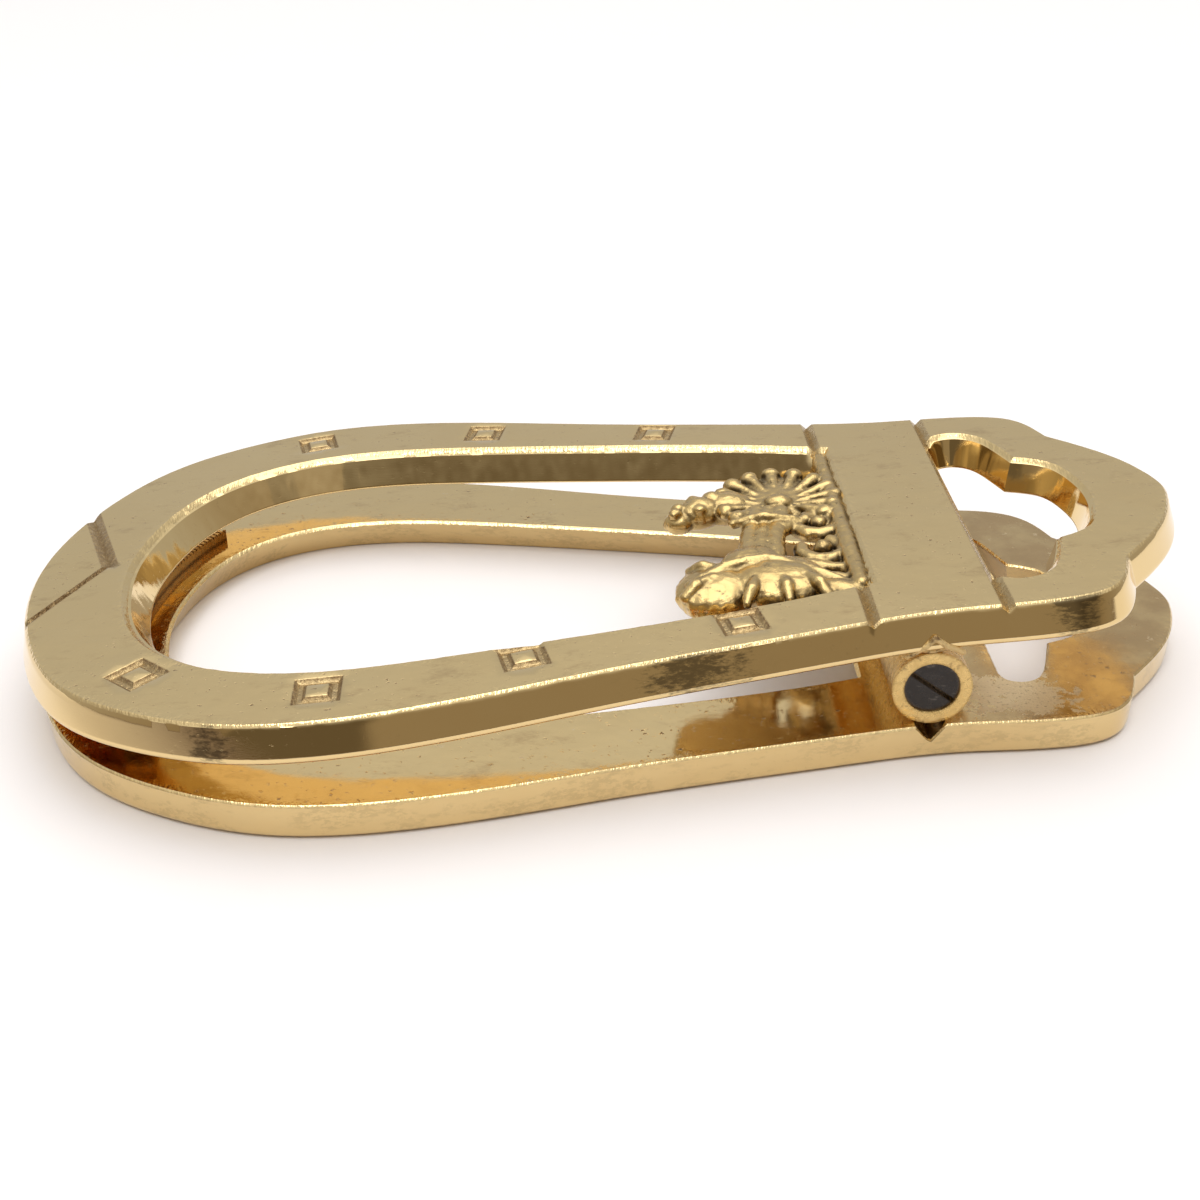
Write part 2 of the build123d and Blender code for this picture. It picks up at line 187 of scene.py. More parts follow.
def joined(runs, snap_stations=()):
    """One closed loop from runs that keep the metal on their left, with mitred normals away from it."""
    points, normals = [], []
    tangents = []
    for run in runs:
        along = np.gradient(run, axis=0)
        tangents.append(along / np.hypot(*along.T)[:, None])
    for index, run in enumerate(runs):
        side = np.stack([tangents[index][:, 1], -tangents[index][:, 0]], axis=1)
        last = tangents[index - 1][-1]
        side_before = np.array([last[1], -last[0]])
        side[0] = (side[0] + side_before) / (1 + side[0] @ side_before)
        points.append(run[:-1])
        normals.append(side[:-1])
    points, normals = np.concatenate(points), np.concatenate(normals)
    for station in snap_stations:
        for half in (points[:, 1] > 0, points[:, 1] < 0):
            rows = np.nonzero(half)[0]
            nearest = rows[np.argmin(np.abs(points[rows, 0] - station))]
            shift = station - points[nearest, 0]
            slope = -normals[nearest, 0] / normals[nearest, 1]
            points[nearest] += (shift, shift * slope)
    return points, normals


def plate_loops(snap_stations):
    """The outer loop and the two openings of a plate, at its top face."""
    outer = [smooth_run(across(OUTER_TIP)), smooth_run(across(OUTER_LEG)[::-1])]
    corner = HORSESHOE_OPENING[-1]
    horseshoe = [smooth_run(across(HORSESHOE_OPENING)), smooth_run([corner, (corner[0], -corner[1])])]
    wall = LOOP_SHOULDER[0]
    loop = [
        smooth_run([(wall[0], -wall[1]), wall]),
        smooth_run(LOOP_SHOULDER),
        smooth_run(across(LOOP_TIP)[::-1]),
        smooth_run(mirrored(LOOP_SHOULDER)),
    ]
    return [joined(outer, snap_stations), joined(horseshoe), joined(loop)]


def inside(points, polygon):
    """Which points lie in a closed polygon."""
    x, y = points[:, 0:1], points[:, 1:2]
    x0, y0 = polygon[:, 0], polygon[:, 1]
    x1, y1 = np.roll(x0, -1), np.roll(y0, -1)
    crosses = (y0 <= y) != (y1 <= y)
    rise = np.where(y1 == y0, 1, y1 - y0)
    at = x0 + (y - y0) / rise * (x1 - x0)
    return (crosses & (x < at)).sum(axis=1) % 2 == 1


def wobble(x, y, scale, seed):
    """Smooth noise about 0 at a point, with the given size of bump in mm."""
    return noise.noise(Vector((x / scale + seed, y / scale - seed, seed * 0.7)))


def polished(x, y, seed):
    """Height of the waves that polishing left in a face."""
    (slow, slow_length), (fine, fine_length) = SLOW_WAVE, FINE_WAVE
    return slow * wobble(x, y, slow_length, seed) + fine * wobble(x, y, fine_length, seed + 5)


def nicks(x, y, seed):
    """Small knocks along an edge, about 0."""
    return wobble(x, y, 0.5, seed + 2) + 0.5 * wobble(x, y, 0.2, seed + 4)


# ---- Marks cut into a face: each gives its depth at a point and the lines to mesh along
class VeeCut:
    """A V-shaped cut along a straight line."""

    def __init__(self, start, end, half_width, depth, grime=1.0):
        self.start, self.end = np.array(start, float), np.array(end, float)
        self.half_width, self.depth, self.grime = half_width, depth, grime
        run = self.end - self.start
        self.length = math.hypot(*run)
        self.along = run / self.length
        self.side = np.array([-self.along[1], self.along[0]])

    def away(self, points):
        offset = points - self.start
        lengthwise, sideways = offset @ self.along, np.abs(offset @ self.side)
        beyond = np.maximum(np.maximum(-lengthwise, lengthwise - self.length), 0)
        return np.hypot(sideways, beyond)

    def relief(self, points):
        return -self.depth * np.clip(1 - self.away(points) / self.half_width, 0, 1)

    def dirt(self, points):
        rim = self.half_width + CUT_RIM
        return self.grime * np.clip((rim - self.away(points)) / CUT_RIM, 0, 1)

    def lines(self):
        count = max(2, round(self.length / MARK_SPACING) + 1)
        centre = self.start + np.linspace(0, self.length, count)[:, None] * self.along
        reaches = (self.half_width, self.half_width + CUT_RIM)
        return [centre] + [centre + self.side * way * reach for way in (1, -1) for reach in reaches]


class SlopeCut:
    """A flat chamfer that falls from a line to a wall beside it, along X."""

    FADE = 0.1

    def __init__(self, wall_x, reach, half_span):
        self.wall_x, self.reach, self.half_span = wall_x, reach, half_span

    def relief(self, points):
        within = np.clip(1 - (points[:, 0] - self.wall_x) / self.reach, 0, 1)
        near_wall = np.abs(points[:, 0] - self.wall_x) < self.reach + self.FADE
        ends = np.clip((self.half_span - np.abs(points[:, 1])) / self.FADE + 1, 0, 1)
        return np.where(near_wall, -self.reach * within * ends, 0)

    def dirt(self, points):
        return np.zeros(len(points))

    def lines(self):
        count = round(2 * self.half_span / MARK_SPACING)
        y = np.linspace(-self.half_span, self.half_span, count)
        return [np.stack([np.full(count, self.wall_x + self.reach), y], axis=1)]


class NailFrame:
    """A punched square outline: a sunk ring with sloping sides round a small land."""

    # Distance from the centre, height and dirt across the ring.
    RING = [
        (0.45, 0.0, 0.0), (0.51, -0.03, 1.0), (0.66, -0.16, 0.6),
        (0.86, -0.18, 0.55), (1.04, -0.03, 1.0), (1.11, 0.0, 0.0),
    ]

    def __init__(self, x, y, turn):
        self.centre = np.array([x, y])
        angle = math.radians(turn)
        self.axes = np.array([[math.cos(angle), math.sin(angle)], [-math.sin(angle), math.cos(angle)]])

    def away(self, points):
        return np.abs((points - self.centre) @ self.axes.T).max(axis=1)

    def relief(self, points):
        reach, height, _ = zip(*self.RING)
        return np.interp(self.away(points), reach, height)

    def dirt(self, points):
        reach, _, dirt = zip(*self.RING)
        return np.interp(self.away(points), reach, dirt)

    def lines(self):
        squares = []
        for reach, _, _ in self.RING:
            side = np.linspace(-reach, reach, 5)[:-1]
            flat = np.full(4, reach)
            square = np.concatenate([
                np.stack([side, -flat], 1), np.stack([flat, side], 1),
                np.stack([-side, flat], 1), np.stack([-flat, -side], 1),
            ])
            square = np.concatenate([square, square[:1]])
            squares.append(square @ self.axes + self.centre)
        return squares


# ---- Meshes
def added(name, data):
    """A new object in the scene."""
    thing = bpy.data.objects.new(name, data)
    bpy.context.scene.collection.objects.link(thing)
    return thing


def mesh_object(name, vertices, faces, to_row, sharp_degrees=32, masks=None):
    """A shaded object from points in a local frame, doubles merged, moved to the row frame."""
    rounded = np.round(np.array(vertices, float), 5)
    unique, first, where = np.unique(rounded, axis=0, return_index=True, return_inverse=True)
    where = where.reshape(-1)
    merged = []
    for face in faces:
        corners = []
        for corner in face:
            index = int(where[corner])
            if index not in corners:
                corners.append(index)
        if len(corners) > 2:
            merged.append(corners)
    mesh = bpy.data.meshes.new(name)
    mesh.from_pydata([to_row @ Vector(v) for v in unique], [], merged)
    mesh.validate()
    mesh.shade_smooth()
    mesh.set_sharp_from_angle(angle=math.radians(sharp_degrees))
    for mask, values in (masks or {}).items():
        layer = mesh.attributes.new(mask, "FLOAT", "POINT")
        layer.data.foreach_set("value", np.array(values, np.float32)[first])
    return added(name, mesh)


def quads_between(rings, count, first=0):
    """Quads that join each closed ring of points to the next one."""
    quads = []
    for ring in range(rings - 1):
        start = first + ring * count
        for i in range(count):
            a, b = start + i, start + (i + 1) % count
            quads.append((a, b, b + count, a + count))
    return quads


def face_between(loops, height_at, marks, spacing, flip):
    """Triangles of a face between an outer loop and its openings, meshed along the marks."""
    points, edges = [], []
    for loop in loops:
        first = len(points)
        points.extend(map(tuple, loop))
        count = len(loop)
        edges.extend((first + i, first + (i + 1) % count) for i in range(count))
    outer, openings = loops[0], loops[1:]
    border = np.concatenate(loops)

    def on_metal(candidates):
        metal = inside(candidates, outer)
        for opening in openings:
            metal &= ~inside(candidates, opening)
        return metal

    marked = []
    for mark in marks:
        for line in mark.lines():
            keep = on_metal(line)
            gap = np.hypot(*(line[:, None] - border[None]).transpose(2, 0, 1)).min(axis=1)
            keep &= gap > 0.02
            first = len(points)
            kept = np.nonzero(keep)[0]
            points.extend(map(tuple, line[kept]))
            marked.append(line[kept])
            for j in range(len(kept) - 1):
                if kept[j + 1] == kept[j] + 1:
                    edges.append((first + j, first + j + 1))
    low, high = outer.min(axis=0), outer.max(axis=0)
    rows = np.arange(low[1], high[1], spacing * ROW_RATIO)
    columns = np.arange(low[0], high[0], spacing)
    grid = np.array([(x + spacing / 2 * (i % 2), y) for i, y in enumerate(rows) for x in columns])
    grid = grid[on_metal(grid)]
    avoid = np.concatenate([border] + marked)
    clear = np.ones(len(grid), bool)
    for chunk in np.array_split(np.arange(len(grid)), 12):
        apart = np.hypot(*(grid[chunk][:, None] - avoid[None]).transpose(2, 0, 1)).min(axis=1)
        clear[chunk] = apart > spacing * 0.4
    points.extend(map(tuple, grid[clear]))
    flat, _, triangles, _, _, _ = delaunay_2d_cdt([Vector(p) for p in points], edges, [], 0, 1e-6)
    flat = np.array([tuple(v) for v in flat])
    triangles = np.array(triangles)
    triangles = triangles[on_metal(flat[triangles].mean(axis=1))]
    if flip:
        triangles = triangles[:, ::-1]
    return np.column_stack([flat, height_at(flat)]), triangles


def wall_levels(thickness, bevel, foot_radius, top_flare, bottom_flare):
    """(height, offset) of each ring down a leaning wall: top bevel, wall, rounded lower edge."""

    def flare(height):
        return bottom_flare + (top_flare - bottom_flare) * height / thickness

    midway, margin = 0.45 * bevel, 0.04
    levels = [
        (thickness, top_flare - bevel),
        (thickness - midway, top_flare - midway),
        (thickness - bevel, top_flare),
    ]
    straight = np.linspace(thickness - bevel - margin, foot_radius + margin, WALL_RINGS)
    levels += [(h, flare(h)) for h in straight]
    for step in range(FOOT_RINGS):
        angle = math.radians(90 * step / (FOOT_RINGS - 1))
        height = foot_radius * (1 - math.sin(angle))
        inset = foot_radius * (1 - math.cos(angle))
        levels.append((height, flare(height) - inset))
    return levels


def reflection_strength(x):
    """How strongly the near wall's painted dark reflection shows at a station."""
    return max(math.exp(-(((x - station) / half_length) ** 2)) for station, half_length in PAINTED_REFLECTIONS)


def crusted(x, y):
    """How crusty the lower plate is at a point: 1 in the middle of the patch, 0 just outside it."""
    middle_x, middle_y, half_length, half_width = CRUST
    away = math.hypot((x - middle_x) / half_length, (y - middle_y) / half_width)
    return float(np.clip(2.0 - 1.6 * away, 0, 1))


def plate(name, to_row, thickness, flares, bevels, marks, snap_stations, seed):
    """One horseshoe plate: top and bottom faces, leaning walls with a worn top edge, cut marks."""

    def relief(points):
        return np.min([mark.relief(points) for mark in marks], axis=0)

    def dirt(points):
        return np.max([mark.dirt(points) for mark in marks], axis=0)

    def top_height(points):
        return thickness + relief(points) + np.array([polished(x, y, seed) for x, y in points])

    def bottom_height(points):
        return np.zeros(len(points))

    vertices, faces, tops, bottoms = [], [], [], []
    masks = {mask: [] for mask in ("side", "patina", "edge", "sawn", "dark_reflection")}
    shapes = zip(plate_loops(snap_stations), flares, bevels, FOOT_RADII)
    for (loop, normals), (top_flare, bottom_flare), bevel, foot_radius in shapes:
        levels = wall_levels(thickness, bevel, foot_radius, top_flare, bottom_flare)
        worn = 1 + EDGE_WEAR * np.array([nicks(x, y, seed) for x, y in loop])
        wave, wave_length = WALL_WAVE
        ripple = np.array([wave * wobble(x, y, wave_length, seed + 3) for x, y in loop])
        is_opening = bool(tops)
        rings = []
        for level, (height, offset) in enumerate(levels):
            below_bevel = level + 1 - BEVEL_RINGS
            if below_bevel < 0:
                flat = loop + normals * (top_flare + (offset - top_flare) * worn)[:, None]
            else:
                flat = loop + normals * (offset + ripple * min(1, 0.5 * below_bevel))[:, None]
            if level == 0:
                top_z = top_height(flat)
                z = top_z
                tops.append(flat)
            elif level == len(levels) - 1:
                z = np.zeros(len(flat))
                bottoms.append(flat)
            elif below_bevel <= 0:
                z = top_z - (thickness - height) * worn
            else:
                z = np.minimum(height, top_z - (bevel * worn + 0.01 * below_bevel))
            rings.append(np.column_stack([flat, z]))
            masks["side"].extend([0.0 if level == 0 else 1.0] * len(flat))
            masks["edge"].extend([1.0 if below_bevel <= 0 else 0.0] * len(flat))
            masks["patina"].extend(dirt(flat) if below_bevel <= 0 else [0.0] * len(flat))
            masks["sawn"].extend([1.0 if is_opening and below_bevel > 1 else 0.0] * len(flat))
            # Painted dark reflection: only on the near half of the outer wall.
            masks["dark_reflection"].extend(0.0 if is_opening or y > 0 else reflection_strength(x) for x, y in flat)
        quads = quads_between(len(levels), len(loop), len(vertices))
        faces.extend((a, d, c, b) for a, b, c, d in quads)
        vertices.extend(map(tuple, np.concatenate(rings)))
    for loops, height_at, cuts, spacing, flip in (
        (tops, top_height, marks, GRID_SPACING, False),
        (bottoms, bottom_height, [], BOTTOM_SPACING, True),
    ):
        points, triangles = face_between(loops, height_at, cuts, spacing, flip)
        first = len(vertices)
        vertices.extend(map(tuple, points))
        faces.extend(tuple(int(c) + first for c in t) for t in triangles)
        masks["patina"].extend([0.0] * len(points) if flip else dirt(points[:, :2]))
        for mask in ("side", "edge", "sawn", "dark_reflection"):
            masks[mask].extend([0.0] * len(points))
    masks["tarnish"] = [float(np.clip((x - TARNISH_FROM) / TARNISH_FADE, 0, 1)) for x, y, z in vertices]
    masks["crust"] = [crusted(x, y) for x, y, z in vertices]
    return mesh_object(name, vertices, faces, to_row, masks=masks)


def upper_plate():
    marks = []
    half_width = OUTER_LEG[5][1] + 1
    for station in GROOVE_STATIONS:
        ends = (station, -half_width), (station, half_width)
        marks.append(VeeCut(*ends, GROOVE_HALF_WIDTH, GROOVE_DEPTH, GROOVE_GRIME))
    corner = HORSESHOE_OPENING[-1]
    marks.append(SlopeCut(corner[0], CROSSBAR_CHAMFER, corner[1]))
    for start, end, stroke in zip(TOE_VEE, TOE_VEE[1:], TOE_VEE_STROKES):
        marks.append(VeeCut(start, end, *stroke))
    for x, y, turn in NAIL_FRAMES:
        marks.append(NailFrame(x, y, turn))
    stations = [s + d for s in GROOVE_STATIONS for d in (-GROOVE_HALF_WIDTH, 0, GROOVE_HALF_WIDTH)]
    shape = UPPER_THICKNESS, UPPER_FLARES, UPPER_BEVELS
    piece = plate("upper_plate_body", upper_to_row, *shape, marks, stations, UPPER_SEED)
    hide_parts("upper_plate")
    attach(piece, "upper")
    return piece


def lower_plate():
    station = LOWER_HINGE_STATION
    ends = (station, -SEAT_HALF_SPAN), (station, SEAT_HALF_SPAN)
    seat = VeeCut(*ends, SEAT_HALF_WIDTH, SEAT_DEPTH, SEAT_GRIME)
    stations = [station + d for d in (-SEAT_HALF_WIDTH, 0, SEAT_HALF_WIDTH)]
    shape = LOWER_THICKNESS, LOWER_FLARES, LOWER_BEVELS
    piece = plate("lower_plate_body", lower_to_row, *shape, [seat], stations, LOWER_SEED)
    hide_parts("lower_plate")
    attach(piece, "lower")
    return piece


# ---- The cast ornament: a shell fan, a long leaf, a lobed leaf and scrolls, fused by remeshing
ORNAMENT_VOXEL = 0.075
ORNAMENT_FOOT = 0.36
ORNAMENT_TOP = 2.3
SEAM_VOXEL = 0.06


class Lump:
    """Gathers simple closed shapes, in millimetres, for one remeshed casting."""

    def __init__(self):
        self.shapes = bmesh.new()

    def ball(self, centre, radii, turn=0.0):
        place = Matrix.Translation(centre) @ Matrix.Rotation(math.radians(turn), 4, "Z")
        stretched = place @ Matrix.Diagonal((*radii, 1))
        bmesh.ops.create_icosphere(self.shapes, subdivisions=3, radius=1, matrix=stretched)

    def rod(self, start, end, start_radius, end_radius):
        start, end = Vector(start), Vector(end)
        run = end - start
        place = Matrix.Translation((start + end) / 2) @ run.to_track_quat("Z", "Y").to_matrix().to_4x4()
        bmesh.ops.create_cone(
            self.shapes, cap_ends=True, segments=14, radius1=start_radius, radius2=end_radius,
            depth=run.length, matrix=place,
        )
        self.ball(start, (start_radius,) * 3)
        self.ball(end, (end_radius,) * 3)

    def path(self, points, radii):
        for (a, b), (ra, rb) in zip(zip(points, points[1:]), zip(radii, radii[1:])):
            self.rod(a, b, ra, rb)

    def fused(self, voxel, smoothing):
        """Points and faces of everything fused into one skin."""
        mesh = bpy.data.meshes.new("lump")
        self.shapes.to_mesh(mesh)
        self.shapes.free()
        piece = added("lump", mesh)
        remesh = piece.modifiers.new("remesh", "REMESH")
        remesh.mode = "VOXEL"
        remesh.voxel_size = voxel
        smooth = piece.modifiers.new("smooth", "SMOOTH")
        smooth.iterations = smoothing
        result = piece.evaluated_get(bpy.context.evaluated_depsgraph_get()).to_mesh()
        points = np.zeros(len(result.vertices) * 3)
        result.vertices.foreach_get("co", points)
        normals = np.array([tuple(v.normal) for v in result.vertices])
        faces = [tuple(f.vertices) for f in result.polygons]
        bpy.data.objects.remove(piece)
        bpy.data.meshes.remove(mesh)
        return points.reshape(-1, 3), normals, faces


def arc(centre, radius, start, end, height, count=9):
    angles = np.radians(np.linspace(start, end, count))
    x, y = centre
    return [(x + radius * math.cos(a), y + radius * math.sin(a), height) for a in angles]


def shell_fan(lump):
    """A scallop shell: a dished disk under fat ribs that end in round beads."""
    hub = Vector((38.4, 2.3, 1.3))
    lump.ball((38.4, 3.5, 0.95), (2.8, 2.75, 0.6))
    ribs = 13
    for index in range(ribs):
        angle = math.radians(-36 + index * 252 / (ribs - 1))
        reach = 3.45 - 0.7 * abs(index - ribs // 2) / (ribs // 2)
        towards = Vector((math.cos(angle), math.sin(angle), 0))
        rim = hub + towards * reach + Vector((0, 0, 0.12))
        lump.path([hub + towards * 0.8, hub.lerp(rim, 0.6), rim], [0.12, 0.27, 0.40])
        lump.ball(rim, (0.5, 0.5, 0.42))
    lump.ball(hub + Vector((0, -0.1, 0.15)), (0.75, 0.6, 0.42))


def long_leaf(lump):
    """The small pointed leaf and buds beyond the fan's left side."""
    lump.ball((35.7, 2.7, 1.1), (1.5, 1.15, 0.8), 15)
    lump.ball((34.3, 2.2, 1.15), (1.25, 1.0, 0.85), 20)
    lump.ball((33.2, 1.6, 1.0), (0.8, 0.7, 0.6), 10)
    buds = ((35.0, 2.9, 0.5), (34.0, 2.6, 0.42), (33.2, 2.0, 0.36), (34.3, 1.6, 0.4), (33.0, 1.4, 0.34))
    for x, y, size in buds:
        lump.ball((x, y, 1.62), (size, size, size * 0.8))


def lobed_leaf(lump):
    """The big leaf on the near side, with a rolled edge and veins."""
    lump.ball((34.7, -6.1, 1.0), (2.35, 2.0, 0.95), 38)
    lump.ball((34.7, -6.2, 0.7), (2.2, 1.9, 0.9), 38)
    lump.ball((37.4, -6.2, 1.15), (2.6, 2.1, 1.0), -8)
    lump.ball((39.9, -7.3, 0.9), (1.9, 0.85, 0.75), -14)
    lump.ball((36.4, -4.3, 1.05), (1.7, 1.5, 0.95), 20)
    veins = ((34.4, -6.4, 215), (34.9, -5.7, 150), (36.4, -6.8, 250), (37.6, -6.6, 275), (38.7, -6.7, 300))
    for x, y, degrees in veins:
        angle = math.radians(degrees)
        tip = Vector((math.cos(angle), math.sin(angle), 0)) * 1.8
        root = Vector((x, y, 1.75))
        lump.path([root, root + tip * 0.6, root + tip - Vector((0, 0, 0.4))], [0.26, 0.34, 0.26])
    spine = [
        (33.2, -6.7, 1.6), (35.0, -5.6, 1.85), (37.0, -5.2, 1.95), (39.0, -6.1, 1.7), (41.3, -7.4, 1.1),
    ]
    lump.path(spine, [0.24, 0.34, 0.36, 0.3, 0.24])


def stem_and_scrolls(lump):
    """A fluted stem under the shell with a band round it, and scrolls beside it."""
    stem = [(36.9, -3.8, 1.1), (37.2, -1.4, 1.25), (37.8, 1.2, 1.2)]
    for shift in (-0.62, 0.0, 0.62):
        lump.path([(x + shift, y - 0.1 * shift, z) for x, y, z in stem], [0.62, 0.52, 0.56])
    lump.path([(35.9, -0.1, 1.5), (37.4, -0.3, 1.85), (38.9, -0.1, 1.5)], [0.26, 0.3, 0.26])
    lump.path(arc((40.1, -0.3), 1.0, -160, 120, 1.1), [0.42] * 9)
    lump.path(arc((40.0, -3.1), 1.05, -200, 60, 1.05), [0.42] * 9)
    lump.path([(38.0, -0.9, 1.3), (39.5, 0.2, 1.2), (41.2, 1.9, 1.0)], [0.42, 0.36, 0.4])
    lump.path([(38.4, -4.4, 1.1), (40.0, -4.9, 1.05), (41.3, -5.4, 1.0)], [0.44, 0.36, 0.4])
    lump.path([(38.9, -6.0, 1.1), (40.3, -6.1, 1.1), (41.3, -6.6, 1.0)], [0.42, 0.34, 0.38])
    for x, y in ((40.2, -0.2), (40.0, -3.0)):
        lump.ball((x, y, 1.2), (0.45, 0.45, 0.45))


def crossbar_rim(lump):
    """The smooth rounded bead where the casting meets the crossbar."""
    lump.rod((41.25, 7.3, 1.3), (41.25, -7.3, 1.3), 0.46, 0.46)
    lump.rod((41.2, 7.2, 0.85), (41.2, -7.2, 0.85), 0.5, 0.5)


def ornament():
    """The casting, fused into one skin, chased on top and filed at its sides."""
    lump = Lump()
    for part in (shell_fan, long_leaf, lobed_leaf, stem_and_scrolls, crossbar_rim):
        part(lump)
    points, normals, faces = lump.fused(ORNAMENT_VOXEL, 2)
    chased = [
        0.05 * noise.noise(Vector(p) * 1.1) + 0.02 * noise.noise(Vector(p) * 3.2)
        for p in points
    ]
    sides = 1 - np.abs(normals[:, 2])
    filed = [0.09 * noise.noise(Vector((p[0] * 3.4, p[1] * 3.4, 0.3))) for p in points]
    points = points + normals * (np.array(chased) + sides * np.array(filed))[:, None]
    points[:, 2] = np.clip(points[:, 2], ORNAMENT_FOOT, ORNAMENT_TOP)
    piece = mesh_object("ornament_casting", points, faces, upper_to_row, 180)
    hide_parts("crossbar_ornament")
    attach(piece, "upper")
    return piece


def near_seam():
    """The lumpy fillet of solder on top of the near half of the barrel."""
    lump = Lump()
    half = 0.5 * (BARREL_HALF_LENGTH - CENTRE_HALF_LENGTH)
    beads = 15
    for index in range(beads):
        y = -BARREL_HALF_LENGTH + 0.35 + index * (2 * half - 0.9) / (beads - 1)
        swell = 0.08 * math.sin(2.3 * index) + (0.12 if index == 0 else 0)
        lump.ball((0.06 * math.sin(1.7 * index), y, 1.98), (0.62 + swell, 0.4, 0.26))
    ridge = [
        (-1.25, -11.62, 2.0), (-0.45, -11.86, 2.55), (0.0, -11.84, 2.95),
        (0.5, -11.86, 2.5), (1.3, -11.6, 2.0),
    ]
    lump.path(ridge, [0.16, 0.15, 0.15, 0.15, 0.16])
    points, _, faces = lump.fused(SEAM_VOXEL, 2)
    piece = mesh_object("near_solder_fillet", points, faces, hinge_to_row, 180)
    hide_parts("near_solder_seam")
    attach(piece, "upper")
    return piece


def tube_along(path, radius, segments=10):
    """Points and faces of a round wire along a path, with closed ends."""
    path = np.array(path)
    along = np.gradient(path, axis=0)
    along /= np.linalg.norm(along, axis=1)[:, None]
    first_side = np.cross(along, np.tile((0.3, 0.1, 1.0), (len(path), 1)))
    first_side /= np.linalg.norm(first_side, axis=1)[:, None]
    second_side = np.cross(along, first_side)
    turns = 2 * np.pi * np.arange(segments) / segments
    rings = path[:, None] + radius * (
        np.cos(turns)[:, None] * first_side[:, None] + np.sin(turns)[:, None] * second_side[:, None]
    )
    faces = quads_between(len(path), segments)
    last = (len(path) - 1) * segments
    faces.append(tuple(range(segments))[::-1])
    faces.append(tuple(range(last, last + segments)))
    return rings.reshape(-1, 3), faces


def spring():
    """The torsion spring: a short straight leg, then the wire coiled round the hinge axis."""
    leg = [(COIL_RADIUS, COIL_START + y, 0) for y in np.linspace(-SPRING_LEG_LENGTH, -0.15, 6)]
    coil = []
    for turns in np.arange(0, COIL_TURNS, 1 / 24):
        angle = 2 * math.pi * turns
        y = COIL_START + COIL_PITCH * angle / (2 * math.pi)
        coil.append((COIL_RADIUS * math.cos(angle), y, -COIL_RADIUS * math.sin(angle)))
    points, faces = tube_along(leg + coil, WIRE_RADIUS)
    piece = mesh_object("wound_spring", points, faces, hinge_to_row, 180)
    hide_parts("torsion_spring")
    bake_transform(piece)
    return piece


# ---- Materials
class NodeTree:
    """Short calls for building a tree of nodes."""

    def __init__(self, tree):
        self.nodes, self.links = tree.nodes, tree.links

    def feed(self, socket, value):
        """Set a socket to a value, or link another node's output to it."""
        if isinstance(value, bpy.types.NodeSocket):
            self.links.new(value, socket)
        else:
            socket.default_value = value

    def add(self, kind, inputs):
        """A new node with the named inputs fed."""
        node = self.nodes.new("ShaderNode" + kind)
        for name, value in inputs.items():
            self.feed(node.inputs[name], value)
        return node

    def range(self, source, low, high, to_low, to_high):
        """A smooth step from one range of values to another."""
        ends = {"From Min": low, "From Max": high, "To Min": to_low, "To Max": to_high}
        node = self.add("MapRange", {"Value": source, **ends})
        node.interpolation_type = "SMOOTHSTEP"
        return node.outputs["Result"]

    def maths(self, operation, first, second):
        node = self.nodes.new("ShaderNodeMath")
        node.operation = operation
        for socket, value in zip(node.inputs, (first, second)):
            self.feed(socket, value)
        return node.outputs[0]

    def times(self, first, second):
        return self.maths("MULTIPLY", first, second)

    def plus(self, first, second):
        return self.maths("ADD", first, second)

    def larger(self, first, second):
        return self.maths("MAXIMUM", first, second)

    def mix(self, amount, first, second):
        """A blend of two colours, each a plain colour or another node's output."""
        node = self.nodes.new("ShaderNodeMix")
        node.data_type = "RGBA"
        self.feed(node.inputs["Factor"], amount)
        for socket, value in ((node.inputs["A"], first), (node.inputs["B"], second)):
            self.feed(socket, (*value, 1) if isinstance(value, tuple) else value)
        return node.outputs["Result"]


